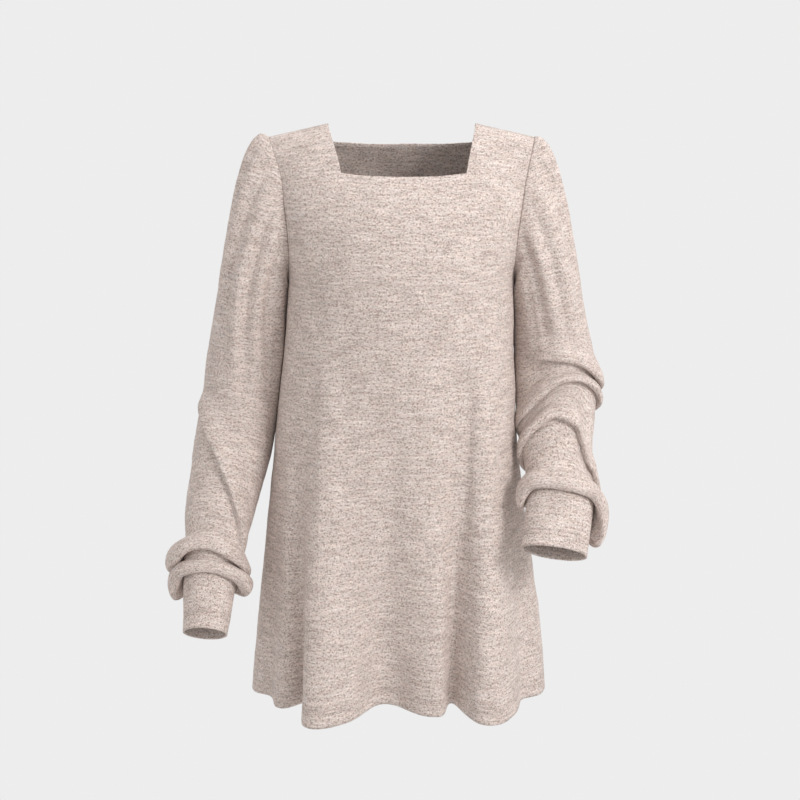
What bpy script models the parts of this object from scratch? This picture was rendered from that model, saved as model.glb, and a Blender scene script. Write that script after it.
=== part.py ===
"""A long-sleeved knit tunic top, worn: square neck, gathered sleeve caps, full sleeves, deep cuffs.

The part is six pieces of cloth, as cut and sewn: front, back, two sleeves and two cuffs. Each is a wall
through rows or rings that are worked out from the tables below. The garment hangs from the wearer's
shoulders: the origin is midway between them, at the mean height of the shoulder seams, +Z is up and the
front faces -Y. Left and right are the wearer's, so the left sleeve is at +X.
"""

import math
from collections import namedtuple

import bmesh
import bpy
import numpy as np

MM = 0.001

# Cloth, in millimetres.
BODY_WALL = 1.4
CUFF_WALL = 2.4
SEAM_GAP = 0.5

# Heights and widths of the pattern, in millimetres from the origin.
HEM_Z = -787.0
UNDERARM_Z = -205.0
CAP_DEPTH = 150.0  # from the armhole to the upper arm down the front of a sleeve
NECK_POINT_X = 100.0
NECK_POINT_Z = 9.0
SHOULDER_POINT_X = 180.0
SHOULDER_POINT_Z = -9.0
FRONT_NECK_X = 83.5
FRONT_NECK_Z = -56.0
FRONT_NECK_SAG = 5.0
BACK_NECK_X = 99.0
BACK_NECK_Z = -16.0
BACK_NECK_SAG = 3.0
YOKE_SIDE_Z = -60.0  # height at the armhole of the row that runs into the neck's corners
ROUNDNESS = 0.85  # power of the sections' cosine; below 1 is boxier than an ellipse
HEM_SWING = 0.2  # how much a fold's crest hangs lower at the hem, per millimetre that it stands out

# Rows and columns of the meshes.
LOWER_ROWS = 12
ARMHOLE_ROWS = 9
STRAP_ROWS = 4
FRONT_PITCH = 10.5  # least distance between a panel's columns at the hem, in millimetres
BACK_PITCH = 16.0
SLEEVE_COLUMNS = 2 * (ARMHOLE_ROWS + STRAP_ROWS)
CAP_RINGS = 7
CUFF_RINGS = 2
PLAIN_PITCH = 34.0  # most distance between a sleeve's rings away from its rolls, in millimetres
SOFT_RINGS = (0.35, 0.62, 0.83, 1.0)
FULL_RINGS = (0.08, 0.3, 0.62, 1.0)
FALLING_RINGS = (0.4, 0.76, 1.0)
STEP = 1e-3  # step of the differences that give a surface's normals, in its own parameters

# The torso's level sections: its middle, its half width, and how far the front and back stand from the
# side seams.
Torso = namedtuple("Torso", "z middle half front back")
TORSO = (
    Torso(-800, -2, 212, 126, 136),
    Torso(-720, -1.5, 205, 124, 132),
    Torso(-620, -3, 193, 121, 124),
    Torso(-520, -5, 180, 119, 114),
    Torso(-450, -5.5, 172, 118, 106),
    Torso(-373, -4, 165, 118, 98),
    Torso(-310, -2, 160, 120, 97),
    Torso(-260, 0, 157, 122, 99),
    Torso(-205, 2, 155, 123, 102),
    Torso(-150, 3.5, 163, 115, 100),
    Torso(-100, 4.5, 173, 98, 90),
    Torso(-60, 5, 180, 73, 76),
    Torso(-30, 4, 183, 47, 58),
    Torso(-12, 3, 183, 30, 44),
)

# The armhole's edge, from the torso's middle.
Armhole = namedtuple("Armhole", "z front_x back_x")
ARMHOLE = (
    Armhole(-205, 155, 155),
    Armhole(-195, 154.4, 154.8),
    Armhole(-175, 153.8, 156),
    Armhole(-150, 154.5, 158),
    Armhole(-122, 157, 161.5),
    Armhole(-95, 160.5, 165),
    Armhole(-74, 163, 168),
    Armhole(-50, 168, 172),
    Armhole(-10, 178, 178.5),
)

# The flutes that fall from the bust and the back to the hem. A crest has a positive rise at the hem, a
# valley a negative one. left and right are the widths over which it dies away, seen from the front, and
# lean is how far its crest tips towards +X at the hem.
Flute = namedtuple("Flute", "hem_x top_x top_z rise left right lean")
FRONT_FLUTES = (
    Flute(-188, -156, -330, -9, 24, 24, 0),
    Flute(-160, -142, -330, 10, 26, 26, 0),
    Flute(-128, -124, -250, -18, 28, 26, 0),
    Flute(-106, -108, -240, 34, 34, 40, -12),
    Flute(-76, -84, -260, 29, 40, 42, 0),
    Flute(-20, -16, -330, -26, 46, 60, 0),
    Flute(52, 44, -330, 8, 54, 26, 3),
    Flute(79, 90, -250, -24, 28, 26, 0),
    Flute(110, 110, -240, 34, 34, 40, -7),
    Flute(140, 130, -260, 25, 40, 40, 0),
    Flute(178, 154, -330, -6, 30, 26, 0),
)
BACK_FLUTES = (
    Flute(-150, -128, -260, 24, 60, 52, -4),
    Flute(-98, -92, -280, -18, 48, 46, 0),
    Flute(-46, -44, -220, 34, 60, 56, 5),
    Flute(14, 10, -260, -24, 60, 52, 0),
    Flute(66, 60, -220, 32, 52, 64, -5),
    Flute(122, 104, -300, -16, 50, 46, 0),
    Flute(162, 140, -260, 16, 44, 44, 0),
)

# A sleeve's rings below the armhole, from the upper arm to the cuff's seam: the ring's centre, its half
# width across the arm and its half depth from front to back.
Arm = namedtuple("Arm", "x y z half depth")
RIGHT_ARM = (
    Arm(-207, 6, -226, 46, 57),
    Arm(-213, 12, -270, 49, 56),
    Arm(-218, 16, -317, 53, 55),
    Arm(-224, 14, -373, 54, 54),
    Arm(-233, 2, -429, 55, 53),
    Arm(-243, -20, -482, 51, 50),
    Arm(-252, -44, -530, 47, 45),
    Arm(-255, -58, -560, 42, 41),
    Arm(-259, -72, -587, 39, 38),
    Arm(-261, -84, -610, 36, 36),
)
RIGHT_CUFF_END = Arm(-264, -122, -673, 30, 35)
LEFT_ARM = (
    Arm(207, 6, -226, 45, 57),
    Arm(214, 12, -272, 48, 56),
    Arm(220, 13, -316, 52, 55),
    Arm(222, 6, -352, 53, 52),
    Arm(221, -9, -388, 51, 47),
    Arm(219, -32, -420, 48, 42),
    Arm(218, -58, -447, 46, 37),
    Arm(218, -82, -471, 46, 32),
    Arm(217, -101, -492, 45, 28),
)
LEFT_CUFF_END = Arm(205, -144, -554, 44, 25)

# Gathers and long folds of a sleeve. A turn is a place round the sleeve in degrees: 0 at the underarm, 90
# at the front, 180 at the shoulder, 270 at the back. Each runs from its top turn to its foot turn between
# two distances below the armhole, and dies away after it has held for a share of that. before and after
# are its widths to the two sides, in degrees.
Gather = namedtuple("Gather", "top_turn foot_turn top foot hold rise before after")
RIGHT_GATHERS = (
    Gather(92, 62, 0, 230, 0.3, 3.0, 15, 15),
    Gather(118, 83, 0, 290, 0.3, -5.0, 14, 14),
    Gather(142, 108, 0, 270, 0.3, 4.5, 16, 16),
    Gather(164, 138, 0, 180, 0.3, -4.0, 13, 13),
    Gather(184, 172, 0, 120, 0.3, 7.0, 18, 18),
    Gather(206, 214, 0, 180, 0.3, -3.0, 13, 13),
    Gather(228, 242, 0, 240, 0.3, 4.0, 16, 16),
    Gather(252, 272, 0, 220, 0.3, -4.0, 15, 15),
    Gather(160, 20, 300, 520, 0.6, 9.0, 46, 20),
)
LEFT_GATHERS = (
    Gather(96, 70, 0, 210, 0.3, 3.0, 15, 15),
    Gather(124, 100, 0, 200, 0.3, -4.5, 14, 14),
    Gather(148, 124, 0, 230, 0.3, 4.5, 15, 15),
    Gather(170, 150, 0, 170, 0.3, -4.5, 13, 13),
    Gather(192, 184, 0, 120, 0.3, 4.0, 14, 14),
    Gather(214, 220, 0, 170, 0.3, -3.5, 13, 13),
    Gather(236, 250, 0, 220, 0.3, 4.0, 16, 16),
    Gather(258, 280, 0, 220, 0.3, -4.0, 15, 15),
)

# Rolls of pushed-up cloth round a sleeve, from the top down. The first four columns are the height of a
# roll's crest above the cuff's seam along the arm, at the front, the shoulder side, the back and the
# underarm side, and the next four are how far it stands out there. It hangs down by lean times that, and
# is above and below wide at most, in millimetres. A lower power makes its rise or its fall fuller.
Roll = namedtuple(
    "Roll",
    "front outer back inner front_out outer_out back_out inner_out lean above below rise fall",
)
RIGHT_ROLLS = (
    Roll(33, 40, 38, 34, 11, 26, 20, 14, 0.4, 24, 14, 0.8, 0.7),
    Roll(11, 13, 13, 13, 5, 21, 18, 21, 0.75, 12, 12, 0.8, 0.7),
)
LEFT_ROLLS = (
    Roll(227, 192, 204, 222, 9, 9, 6, 2, 0.55, 40, 12, 2.0, 0.9),
    Roll(189, 146, 150, 126, 10, 9, 7, 3, 0.55, 60, 13, 2.0, 0.9),
    Roll(119, 58, 78, 98, 12, 15, 9, 12, 0.5, 70, 15, 2.0, 0.9),
    Roll(15, 16, 15, 15, 11, 19, 18, 16, 0.6, 26, 14, 1.2, 0.7),
)

# Materials.
KNIT_COLOUR = (0.60, 0.52, 0.47, 1.0)
KNIT_ROUGHNESS = 0.95


def column(rows, along, name):
    """A table's column as a smooth function of another column, with no overshoot between its rows."""
    ordered = sorted(rows, key=lambda row: getattr(row, along))
    x = np.array([getattr(row, along) for row in ordered], float)
    y = np.array([getattr(row, name) for row in ordered], float)
    return smooth(x, y)


def smooth(x, y):
    """A smooth function through the points, straight beyond both ends. y may hold points in space."""
    step = np.diff(x)
    rise = np.diff(y, axis=0) / step.reshape(-1, *[1] * (y.ndim - 1))
    slope = np.concatenate([rise[:1], (rise[:-1] + rise[1:]) / 2, rise[-1:]])
    turns = rise[:-1] * rise[1:] <= 0
    if y.ndim == 1:
        slope[1:-1][turns] = 0

    def at(value):
        value = np.asarray(value, float)
        i = np.clip(np.searchsorted(x, value) - 1, 0, len(x) - 2)
        h = step[i]
        t = np.clip((value - x[i]) / h, 0, 1)
        if y.ndim > 1:
            h, t = h[..., None], t[..., None]
        made = (
            y[i] * (1 + 2 * t) * (1 - t) ** 2
            + slope[i] * h * t * (1 - t) ** 2
            + y[i + 1] * t**2 * (3 - 2 * t)
            + slope[i + 1] * h * t**2 * (t - 1)
        )
        low = np.minimum(value - x[0], 0)
        high = np.maximum(value - x[-1], 0)
        if y.ndim > 1:
            low, high = low[..., None], high[..., None]
        return made + low * slope[0] + high * slope[-1]

    return at


def bump(q):
    """A smooth bump, 1 at 0 and flat at 0 from 1 outwards."""
    return np.cos(np.clip(np.abs(q), 0, 1) * math.pi / 2) ** 2


def ease(q):
    """0 below 0, 1 above 1, and a smooth step between."""
    q = np.clip(q, 0, 1)
    return q * q * (3 - 2 * q)


def around(values, turn):
    """A smooth value round the sleeve from those at the front, the shoulder side, the back and below."""
    front, outer, back, inner = values
    angle = np.radians(turn)
    return (
        (front + outer + back + inner) / 4
        + (inner - outer) / 2 * np.cos(angle)
        + (front - back) / 2 * np.sin(angle)
        + (inner + outer - front - back) / 4 * np.cos(2 * angle)
    )


def unit(vectors):
    return vectors / np.linalg.norm(vectors, axis=-1, keepdims=True)


def hermite(a, leave, b, arrive, t):
    """A curve from a to b that sets out along leave and comes in along arrive."""
    t = np.asarray(t, float)[..., None]
    return (
        a * (1 + 2 * t) * (1 - t) ** 2
        + leave * t * (1 - t) ** 2
        + b * t**2 * (3 - 2 * t)
        + arrive * t**2 * (t - 1)
    )


torso_middle = column(TORSO, "z", "middle")
torso_half = column(TORSO, "z", "half")
torso_front = column(TORSO, "z", "front")
torso_back = column(TORSO, "z", "back")
armhole_front = column(ARMHOLE, "z", "front_x")
armhole_back = column(ARMHOLE, "z", "back_x")


def edge_angle(face, z):
    """Half the angle that a panel spans at a height: a quarter turn below the underarm."""
    edge_x = armhole_front(z) if face > 0 else armhole_back(z)
    share = np.clip(edge_x / torso_half(z), 0, 1)
    return np.where(z < UNDERARM_Z, math.pi / 2, np.arcsin(share))


def flute_rise(flutes, x, z):
    """How far the flutes push a panel out at each x and z, and how far they tip it towards +X."""
    total = np.zeros(np.broadcast(x, z).shape)
    tipped = np.zeros(total.shape)
    for flute in flutes:
        grown = np.clip((flute.top_z - z) / (flute.top_z - HEM_Z), 0, None) ** 1.35
        centre = flute.top_x + (flute.hem_x - flute.top_x) * np.clip(grown, 0, 1)
        offset = x - centre
        swell = grown * bump(offset / np.where(offset < 0, flute.left, flute.right))
        total = total + flute.rise * swell
        tipped = tipped + flute.lean * swell
    return total, tipped


def torso(face, angle, z):
    """A point of the worn body, with its flutes. face is 1 for the front and -1 for the back."""
    half = torso_half(z)
    depth = torso_front(z) if face > 0 else torso_back(z)
    x = half * np.sin(angle)
    cosine = np.cos(angle)
    y = -face * depth * np.sign(cosine) * np.abs(cosine) ** ROUNDNESS
    rise, tipped = flute_rise(FRONT_FLUTES if face > 0 else BACK_FLUTES, x, z)
    middle = ease(cosine / 0.4)
    rise, tipped = rise * middle, tipped * middle
    outward = unit(np.stack([x / half**2, y / depth**2], axis=-1))
    z_hung = z - HEM_SWING * rise * np.clip((UNDERARM_Z - z) / (UNDERARM_Z - HEM_Z), 0, None)
    moved = torso_middle(z) + rise * outward[..., 0] + tipped
    return np.stack([x + moved, y + rise * outward[..., 1], z_hung], axis=-1)


def neck(face):
    """Half width, height and sag of the neck's lower edge."""
    if face > 0:
        return FRONT_NECK_X, FRONT_NECK_Z, FRONT_NECK_SAG
    return BACK_NECK_X, BACK_NECK_Z, BACK_NECK_SAG


def corner_column(face):
    """The place across the panel, from 0 at the middle to 1 at the armhole, of the neck's corner."""
    neck_x, neck_z, _ = neck(face)
    return float(np.arcsin(neck_x / torso_half(neck_z)) / edge_angle(face, neck_z))


def top_height(face, across):
    """Height of the row that holds the neck's lower edge and runs on to the armhole."""
    _, neck_z, sag = neck(face)
    corner = corner_column(face)
    inside = np.clip(np.abs(across) / corner, 0, 1)
    outside = ease((np.abs(across) - corner) / (1 - corner))
    return neck_z - sag * (1 - inside**2) + (YOKE_SIDE_Z - neck_z) * outside


def panel(face, across, level):
    """A point of the front or back. across runs from -1 to 1, level from 0 at the hem through 1 at the
    underarm and 2 at the neck's lower edge to 3 at the shoulder seam."""
    across, level = np.broadcast_arrays(np.asarray(across, float), np.asarray(level, float))
    top = top_height(face, across)

    def on_torso(at):
        low = HEM_Z + np.minimum(at, 1) * (UNDERARM_Z - HEM_Z)
        z = low + np.clip(at - 1, 0, None) * (top - UNDERARM_Z)
        return torso(face, across * edge_angle(face, z), z)

    lower = on_torso(np.minimum(level, 2))
    start = on_torso(np.full(level.shape, 2.0))
    leaving = (start - on_torso(np.full(level.shape, 1.96))) / 0.04
    corner = corner_column(face)
    along_seam = (np.abs(across) - corner) / (1 - corner)
    seam_x = NECK_POINT_X + (SHOULDER_POINT_X - NECK_POINT_X) * along_seam
    seam_z = NECK_POINT_Z + (SHOULDER_POINT_Z - NECK_POINT_Z) * along_seam
    seam_x = torso_middle(0.0) + np.sign(across) * seam_x
    seam = np.stack([seam_x, np.zeros(level.shape), seam_z], axis=-1)
    reach = np.linalg.norm(seam - start, axis=-1, keepdims=True)
    over = np.array([0.0, face * 1.0, 0.12])
    strap = hermite(start, unit(leaving) * reach, seam, over * reach, level - 2)
    return np.where((level > 2)[..., None], strap, lower)


def normals(surface, first, second, outward):
    """Unit normals of a surface of two parameters, on the side that outward says."""
    along_first = surface(first + STEP, second) - surface(first - STEP, second)
    along_second = surface(first, second + STEP) - surface(first, second - STEP)
    return outward * unit(np.cross(along_first, along_second))


def ring_normals(points, outward):
    """Unit normals of rings of points, each the mean of those of the facets about it."""
    around_next = np.roll(points, -1, axis=1)
    first = around_next[1:] - points[:-1]
    second = points[1:] - around_next[:-1]
    facets = outward * unit(np.cross(first, second))
    beside = facets + np.roll(facets, 1, axis=1)
    total = np.zeros(points.shape)
    total[:-1] += beside
    total[1:] += beside
    return unit(total)


def armhole_levels(face):
    """The panel's levels at the armhole, spaced evenly along its edge below and above the neck's row."""
    made = [np.array([1.0])]
    for start, rows in ((1.0, ARMHOLE_ROWS), (2.0, STRAP_ROWS)):
        fine = np.linspace(start, start + 1, 400)
        edge = panel(face, np.ones(fine.shape), fine)
        length = np.concatenate([[0], np.cumsum(np.linalg.norm(np.diff(edge, axis=0), axis=1))])
        even = np.linspace(0, length[-1], rows + 1)
        made.append(np.interp(even, length, fine)[1:])
    return np.concatenate(made)


def columns_of(face, flutes, pitch):
    """Places across a panel, closer at the narrow flutes, with one at each corner of the neck."""
    fine = np.linspace(-1, 1, 1201)
    x = torso_half(HEM_Z) * np.sin(fine * math.pi / 2)
    density = np.full(fine.shape, 1 / 24.0)
    for flute in flutes:
        narrow = min(flute.left, flute.right)
        density += bump((x - flute.hem_x) / (1.5 * narrow)) / (0.45 * narrow + 6)
    density = np.minimum(density, 1 / pitch)
    lengths = np.hypot(np.gradient(x), np.gradient(torso_front(HEM_Z) * np.cos(fine * math.pi / 2)))
    count = np.concatenate([[0], np.cumsum((density * lengths)[1:])])
    corner = corner_column(face)
    places = []
    for start, end in ((-1, -corner), (-corner, corner), (corner, 1)):
        low, high = np.interp((start, end), fine, count)
        columns = int(round(high - low))
        places.append(np.interp(np.linspace(low, high, columns + 1), count, fine)[:-1])
        places[-1][0] = start
    return np.concatenate([*places, [1.0]])


def cloth(name, outside, inside, cells, material, closed):
    """A wall of cloth between two grids of points, with rims wherever it ends. cells says which cells of
    the grid are cloth, and closed says that the last column meets the first."""
    rows, columns = outside.shape[:2]
    shape = bmesh.new()
    layers = []
    for grid in (outside, inside):
        layers.append([[shape.verts.new(point * MM) for point in row] for row in grid])
    rim = set()
    for i, j in np.argwhere(cells).tolist():
        k = (j + 1) % columns if closed else j + 1
        corners = [(i, j), (i, k), (i + 1, k), (i + 1, j)]
        for layer, order in ((0, 1), (1, -1)):
            shape.faces.new([layers[layer][r][c] for r, c in corners[::order]])
        for start, end in zip(corners, corners[1:] + corners[:1]):
            if (end, start) in rim:
                rim.remove((end, start))
            else:
                rim.add((start, end))
    for start, end in sorted(rim):
        over = [layers[0][row][place] for row, place in (end, start)]
        under = [layers[1][row][place] for row, place in (start, end)]
        shape.faces.new([*over, *under])
    loose = [vert for vert in shape.verts if not vert.link_faces]
    bmesh.ops.delete(shape, geom=loose, context="VERTS")
    bmesh.ops.recalc_face_normals(shape, faces=shape.faces)
    mesh = bpy.data.meshes.new(name)
    shape.to_mesh(mesh)
    shape.free()
    mesh.shade_smooth()
    mesh.materials.append(material)
    made = bpy.data.objects.new(name, mesh)
    return made


def body_panel(name, face, flutes, pitch, material):
    """The front or the back, with the neck cut out of it. Its edges stop half a seam gap short."""
    corner = corner_column(face)
    across = columns_of(face, flutes, pitch)
    lower = np.linspace(0, 1, LOWER_ROWS + 1)[:-1]
    levels = np.concatenate([lower, armhole_levels(face)])
    column_grid, level_grid = np.meshgrid(across, levels)
    points = panel(face, column_grid, level_grid)
    outward = normals(lambda a, b: panel(face, a, b), column_grid, level_grid, face)
    points[:, :, 1] += np.where(np.abs(column_grid) > 0.999, 1, 0) * np.where(
        level_grid <= 1, -face * SEAM_GAP / 2, 0
    )
    points[-1, :, 1] -= face * SEAM_GAP / 2
    neck_row = LOWER_ROWS + ARMHOLE_ROWS
    middle = (across[:-1] + across[1:]) / 2
    cells = np.ones((len(levels) - 1, len(across) - 1), bool)
    cells[neck_row:, np.abs(middle) < corner] = False
    return cloth(name, points, points - BODY_WALL * outward, cells, material, closed=False)


def armhole_point(side, turn):
    """A point of the armhole's edge. turn is in degrees, 0 at the underarm and 180 at the shoulder."""
    turn = np.mod(np.asarray(turn, float), 360)
    rows = ARMHOLE_ROWS + STRAP_ROWS
    places = np.linspace(0, 180, rows + 1)
    front_level = np.interp(turn, places, armhole_levels(1))
    back_level = np.interp(360 - turn, places, armhole_levels(-1))
    across = np.full(turn.shape, float(side))
    on_front = (turn <= 180)[..., None]
    return np.where(on_front, panel(1, across, front_level), panel(-1, across, back_level))


class Sleeve:
    """A sleeve's surface: its cap from the armhole to the upper arm, then a tube down to the cuff."""

    def __init__(self, side, rings, cuff_end, gathers, rolls):
        self.side = side
        self.gathers = gathers
        self.rolls = rolls
        centres = np.array([(ring.x, ring.y, ring.z) for ring in rings], float)
        steps = np.linalg.norm(np.diff(centres, axis=0), axis=1)
        self.down = np.concatenate([[0], np.cumsum(steps)])
        self.length = float(self.down[-1])
        self.centre = smooth(self.down, centres)
        self.half = smooth(self.down, np.array([ring.half for ring in rings], float))
        self.depth = smooth(self.down, np.array([ring.depth for ring in rings], float))
        self.cuff_end = cuff_end

    def axes(self, down):
        """The arm's direction, and the directions across it and to its front."""
        along = unit(self.centre(down + 6.0) - self.centre(down - 6.0))
        across = unit(np.array([1.0, 0, 0]) - along * along[..., :1])
        return along, across, np.cross(along, across)

    def tube(self, turn, down):
        """A point of the plain tube, and the direction out of it."""
        along, across, front = self.axes(down)
        angle = np.radians(turn)
        sideways = (-self.side * np.cos(angle))[..., None] * across
        forward = np.sin(angle)[..., None] * front
        half, depth = self.half(down)[..., None], self.depth(down)[..., None]
        out = unit(sideways * depth + forward * half)
        return self.centre(down) + sideways * half + forward * depth, out, along

    def knots(self, turn):
        """The distances down the arm at which the rolls start, crest and end, at each turn."""
        crests = [self.length - around(roll[:4], turn) for roll in self.rolls]
        bounds = [np.zeros(turn.shape), *crests, np.full(turn.shape, self.length)]
        made = [bounds[0]]
        for i, roll in enumerate(self.rolls):
            over, crest, under = bounds[i : i + 3]
            last = i == len(self.rolls) - 1
            below = under - crest if last else np.minimum(roll.below, 0.45 * (under - crest))
            made += [crest - np.minimum(roll.above, 0.5 * (crest - over)), crest, crest + below]
        return np.stack([*made, bounds[-1]])

    def down_of(self, turn, place):
        """The distance down the arm of a place from 1 on, and how far the rolls push the cloth out and
        down there. Each stretch between two knots is one unit of place."""
        knots = self.knots(turn)
        stretch = np.clip(np.floor(place - 1), 0, len(knots) - 2).astype(int)
        share = place - 1 - stretch
        start = np.take_along_axis(knots, stretch[None], 0)[0]
        end = np.take_along_axis(knots, stretch[None] + 1, 0)[0]
        out = np.zeros(turn.shape)
        over = np.zeros(turn.shape)
        for i, roll in enumerate(self.rolls):
            height = np.maximum(around(roll[4:8], turn), 0)
            rising = stretch == 3 * i + 1
            falling = stretch == 3 * i + 2
            profile = np.where(rising, np.clip(share * (2 - share), 0, 1) ** roll.rise, 0)
            profile = np.where(falling, np.clip(1 - share**2, 0, 1) ** roll.fall, profile)
            out = out + height * profile
            over = over + roll.lean * height * profile
        return start + share * (end - start), out, over

    def gather_rise(self, turn, run):
        """How far the gathers push the cloth out, at a distance below the armhole."""
        total = np.zeros(run.shape)
        for gather in self.gathers:
            share = np.clip((run - gather.top) / (gather.foot - gather.top), 0, 1)
            centre = gather.top_turn + (gather.foot_turn - gather.top_turn) * share
            off = np.mod(turn - centre + 180, 360) - 180
            strength = ease(share / 0.15) * (1 - ease((share - gather.hold) / (1 - gather.hold)))
            width = np.where(off < 0, gather.before, gather.after)
            total = total + gather.rise * strength * bump(off / width)
        return total

    def __call__(self, turn, place):
        """A point of the sleeve. place runs from 0 at the armhole through 1 at the upper arm, and on by
        the stretches between the knots, to the cuff's seam."""
        turn, place = np.broadcast_arrays(np.asarray(turn, float), np.asarray(place, float))
        down, out_by, over_by = self.down_of(turn, np.maximum(place, 1))
        start, direction, _ = self.tube(turn, down + over_by)
        below = start + out_by[..., None] * direction

        seam = armhole_point(self.side, turn)
        end, end_out, end_along = self.tube(turn, np.zeros(turn.shape))
        up = np.clip(-np.cos(np.radians(turn)), 0, 1)
        forward = np.sin(np.radians(turn))
        leave = unit(
            np.stack([self.side * (0.8 + 0.2 * up), -0.35 * forward, -0.6 + 0.95 * up**1.5], axis=-1)
        )
        seam = seam + SEAM_GAP * leave
        reach = np.linalg.norm(end - seam, axis=-1, keepdims=True)
        cap = hermite(seam, leave * reach * 0.45, end, end_along * reach, np.clip(place, -1, 1))
        cap_share = np.clip(place, 0, 1)[..., None]
        cap_out = unit(leave * (1 - cap_share) * np.array([0, 0, 1]) + end_out * (cap_share + 0.05))
        made = np.where((place > 1)[..., None], below, cap)
        outward = np.where((place > 1)[..., None], direction, cap_out)
        run = down + CAP_DEPTH * np.clip(place, 0, 1)
        gathered = self.gather_rise(turn, run) * ease((self.length - down) / 60)
        return made + gathered[..., None] * outward

    def cuff(self, turn, place):
        """A point of the cuff. place runs from 0 at its seam to 1 at its open end."""
        turn, place = np.broadcast_arrays(np.asarray(turn, float), np.asarray(place, float))
        start_along, start_across, start_front = self.axes(np.array(self.length))
        start = self.centre(self.length) + SEAM_GAP * start_along
        end = np.array([self.cuff_end.x, self.cuff_end.y, self.cuff_end.z], float)
        end_along = unit(end - start)
        end_across = unit(np.array([1.0, 0, 0]) - end_along * end_along[0])
        end_front = np.cross(end_along, end_across)
        share = ease(place)
        half = self.half(self.length) * (1 - share) + self.cuff_end.half * share
        depth = self.depth(self.length) * (1 - share) + self.cuff_end.depth * share
        angle = np.radians(turn)
        share = share[..., None]
        across = unit(start_across * (1 - share) + end_across * share)
        front = unit(start_front * (1 - share) + end_front * share)
        sideways = (-self.side * np.cos(angle) * half)[..., None] * across
        forward = (np.sin(angle) * depth)[..., None] * front
        return start + (end - start) * place[..., None] + sideways + forward


def ring_places(sleeve):
    """Where a sleeve's rings lie: evenly round the cap and the plain stretches, and close at the rolls."""
    places = [*np.linspace(0, 1, CAP_RINGS + 1)]
    knots = sleeve.knots(np.array([0.0, 90.0, 180.0, 270.0]))
    longest = np.diff(knots, axis=0).max(axis=1)
    for i, length in enumerate(longest):
        if i % 3 == 1:
            shares = SOFT_RINGS if sleeve.rolls[i // 3].rise > 1 else FULL_RINGS
        elif i % 3 == 2:
            shares = FALLING_RINGS
        else:
            count = int(np.ceil(length / PLAIN_PITCH)) if length > 0.5 else 0
            shares = np.arange(1, count + 1) / max(count, 1)
        places += [1 + i + share for share in shares]
    return np.array(places)


def square_rim(points, outward):
    """A flat ring's normals turned into its own plane, so that the wall ends square."""
    spokes = points - points.mean(axis=0)
    plane = unit(np.cross(spokes, np.roll(spokes, -1, axis=0)).sum(axis=0))
    return unit(outward - (outward @ plane)[:, None] * plane)


def tube_cloth(name, surface, turns, places, wall, side, flat_ends, material):
    """A closed tube of cloth round the arm. flat_ends lists the rings at its ends that lie flat."""
    turn_grid, place_grid = np.meshgrid(turns, places)
    points = surface(turn_grid, place_grid)
    outward = ring_normals(points, -side)
    for ring in flat_ends:
        outward[ring] = square_rim(points[ring], outward[ring])
    cells = np.ones((len(places) - 1, len(turns)), bool)
    return cloth(name, points, points - wall * outward, cells, material, closed=True)


def knit_material():
    """Heathered oatmeal jersey."""
    material = bpy.data.materials.new("oatmeal_knit")
    material.use_nodes = True
    shader = material.node_tree.nodes["Principled BSDF"]
    shader.inputs["Base Color"].default_value = KNIT_COLOUR
    shader.inputs["Roughness"].default_value = KNIT_ROUGHNESS
    shader.inputs["Metallic"].default_value = 0.0
    return material


def main():
    for leftover in list(bpy.data.objects):
        bpy.data.objects.remove(leftover)
    garment = bpy.data.collections.new("knit_tunic_top")
    bpy.context.scene.collection.children.link(garment)
    knit = knit_material()
    pieces = [
        body_panel("front", 1, FRONT_FLUTES, FRONT_PITCH, knit),
        body_panel("back", -1, BACK_FLUTES, BACK_PITCH, knit),
    ]
    turns = np.arange(SLEEVE_COLUMNS) * 360.0 / SLEEVE_COLUMNS
    cuff_places = np.linspace(0, 1, CUFF_RINGS + 1)
    arms = (
        ("right", -1, RIGHT_ARM, RIGHT_CUFF_END, RIGHT_GATHERS, RIGHT_ROLLS),
        ("left", 1, LEFT_ARM, LEFT_CUFF_END, LEFT_GATHERS, LEFT_ROLLS),
    )
    for name, side, rings, cuff_end, gathers, rolls in arms:
        sleeve = Sleeve(side, rings, cuff_end, gathers, rolls)
        places = ring_places(sleeve)
        tubes = (
            (f"sleeve_{name}", sleeve, places, BODY_WALL, ()),
            (f"cuff_{name}", sleeve.cuff, cuff_places, CUFF_WALL, (0, -1)),
        )
        for piece_name, surface, rows, wall, flat_ends in tubes:
            pieces.append(tube_cloth(piece_name, surface, turns, rows, wall, side, flat_ends, knit))
    for piece in pieces:
        garment.objects.link(piece)


if __name__ == "__main__":
    main()
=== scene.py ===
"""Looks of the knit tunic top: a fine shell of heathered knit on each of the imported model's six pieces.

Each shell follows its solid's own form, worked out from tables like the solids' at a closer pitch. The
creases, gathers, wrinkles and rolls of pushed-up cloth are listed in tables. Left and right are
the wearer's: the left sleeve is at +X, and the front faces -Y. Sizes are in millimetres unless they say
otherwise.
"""

import math
from collections import namedtuple

import bpy
import numpy as np
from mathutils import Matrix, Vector, noise
from mathutils.bvhtree import BVHTree

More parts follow.
